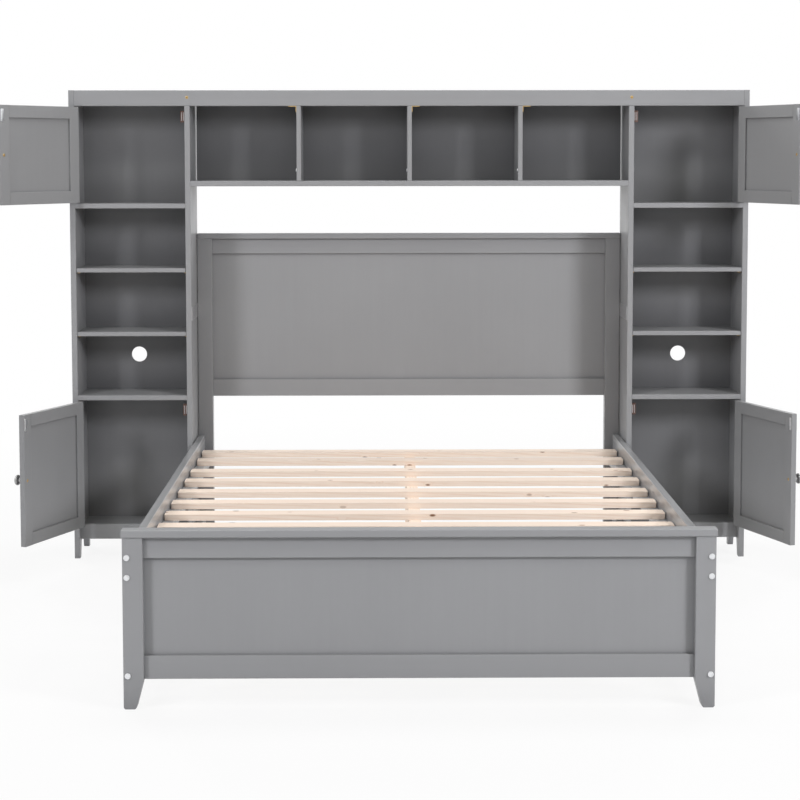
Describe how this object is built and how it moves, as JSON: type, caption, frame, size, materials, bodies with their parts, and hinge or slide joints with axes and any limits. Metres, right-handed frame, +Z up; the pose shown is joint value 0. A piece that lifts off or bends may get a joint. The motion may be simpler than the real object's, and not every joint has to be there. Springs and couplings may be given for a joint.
{
  "type": "double bed",
  "caption": "Slatted double bed with headboard and footboard, between cabinet towers joined by an overhead bridge of open compartments; hinged cupboard doors.",
  "frame": {"origin": "on the floor under the middle centre leg, half way along the bed", "axes": "+X to the right seen from the foot end, +Y towards the headboard, +Z up"},
  "size_m": [2.5818, 1.986, 1.566],
  "materials": {
    "painted_wood": "satin grey paint",
    "bare_pine": "planed, untreated",
    "zinc_steel": "zinc plated",
    "nickel": "satin nickel",
    "brass": "plated",
    "brown_plastic": "moulded"
  },
  "bodies": {
    "bed_and_towers": {"footboard_leg_right": "painted_wood", "footboard_leg_left": "painted_wood", "footboard_cap": "painted_wood", "footboard_upper_rail": "painted_wood", "footboard_lower_rail": "painted_wood", "footboard_panel": "painted_wood", "headboard_post_right": "painted_wood", "headboard_post_left": "painted_wood", "headboard_cap": "painted_wood", "headboard_upper_rail": "painted_wood", "headboard_lower_rail": "painted_wood", "headboard_panel": "painted_wood", "side_rail_right": "painted_wood", "side_rail_left": "painted_wood", "lower_side_rails": "painted_wood", "tower_right_outer_side": "painted_wood", "tower_left_outer_side": "painted_wood", "tower_right_inner_side": "painted_wood", "tower_left_inner_side": "painted_wood", "tower_right_back": "painted_wood", "tower_left_back": "painted_wood", "tower_right_fixed_shelves": "painted_wood", "tower_left_fixed_shelves": "painted_wood", "adjustable_shelves": "painted_wood", "cupboard_floors": "painted_wood", "tower_aprons": "painted_wood", "tower_top_boards": "painted_wood", "bridge_bottom_board": "painted_wood", "bridge_top_board": "painted_wood", "bridge_back": "painted_wood", "bridge_dividers": "painted_wood", "fascia": "painted_wood", "slat_ledgers": "painted_wood", "slats": "bare_pine", "centre_beam": "bare_pine", "centre_legs": "bare_pine", "bed_bolts": "zinc_steel", "barrel_nuts": "zinc_steel", "shelf_pins": "zinc_steel", "headboard_link_plates": "zinc_steel", "hinge_fixed_leaves": "zinc_steel", "fascia_screws": "brass", "bridge_divider_fittings": "brass", "magnetic_catches": "brown_plastic"},
    "door_upper_left": {"door_upper_left_frame": "painted_wood", "door_upper_left_panel": "painted_wood", "door_upper_left_knob": "nickel", "door_upper_left_fittings": "zinc_steel"},
    "door_lower_left": {"door_lower_left_frame": "painted_wood", "door_lower_left_panel": "painted_wood", "door_lower_left_knob": "nickel", "door_lower_left_fittings": "zinc_steel"},
    "door_upper_right": {"door_upper_right_frame": "painted_wood", "door_upper_right_panel": "painted_wood", "door_upper_right_knob": "nickel", "door_upper_right_fittings": "zinc_steel"},
    "door_lower_right": {"door_lower_right_frame": "painted_wood", "door_lower_right_panel": "painted_wood", "door_lower_right_knob": "nickel", "door_lower_right_fittings": "zinc_steel"}
  },
  "joints": [
    {"name": "door_upper_left_hinge", "type": "hinge", "parent": "bed_and_towers", "child": "door_upper_left", "pos_m": [-1.1078, 0.763, 1.353], "axis": [0, 0, -1], "range_deg": [-124, 41]},
    {"name": "door_lower_left_hinge", "type": "hinge", "parent": "bed_and_towers", "child": "door_lower_left", "pos_m": [-1.1078, 0.763, 0.321], "axis": [0, 0, -1], "range_deg": [-112.5, 52.5]},
    {"name": "door_upper_right_hinge", "type": "hinge", "parent": "bed_and_towers", "child": "door_upper_right", "pos_m": [1.1078, 0.763, 1.353], "axis": [0, 0, 1], "range_deg": [-111.5, 53.5]},
    {"name": "door_lower_right_hinge", "type": "hinge", "parent": "bed_and_towers", "child": "door_lower_right", "pos_m": [1.1078, 0.763, 0.321], "axis": [0, 0, 1], "range_deg": [-109.5, 55.5]}
  ]
}
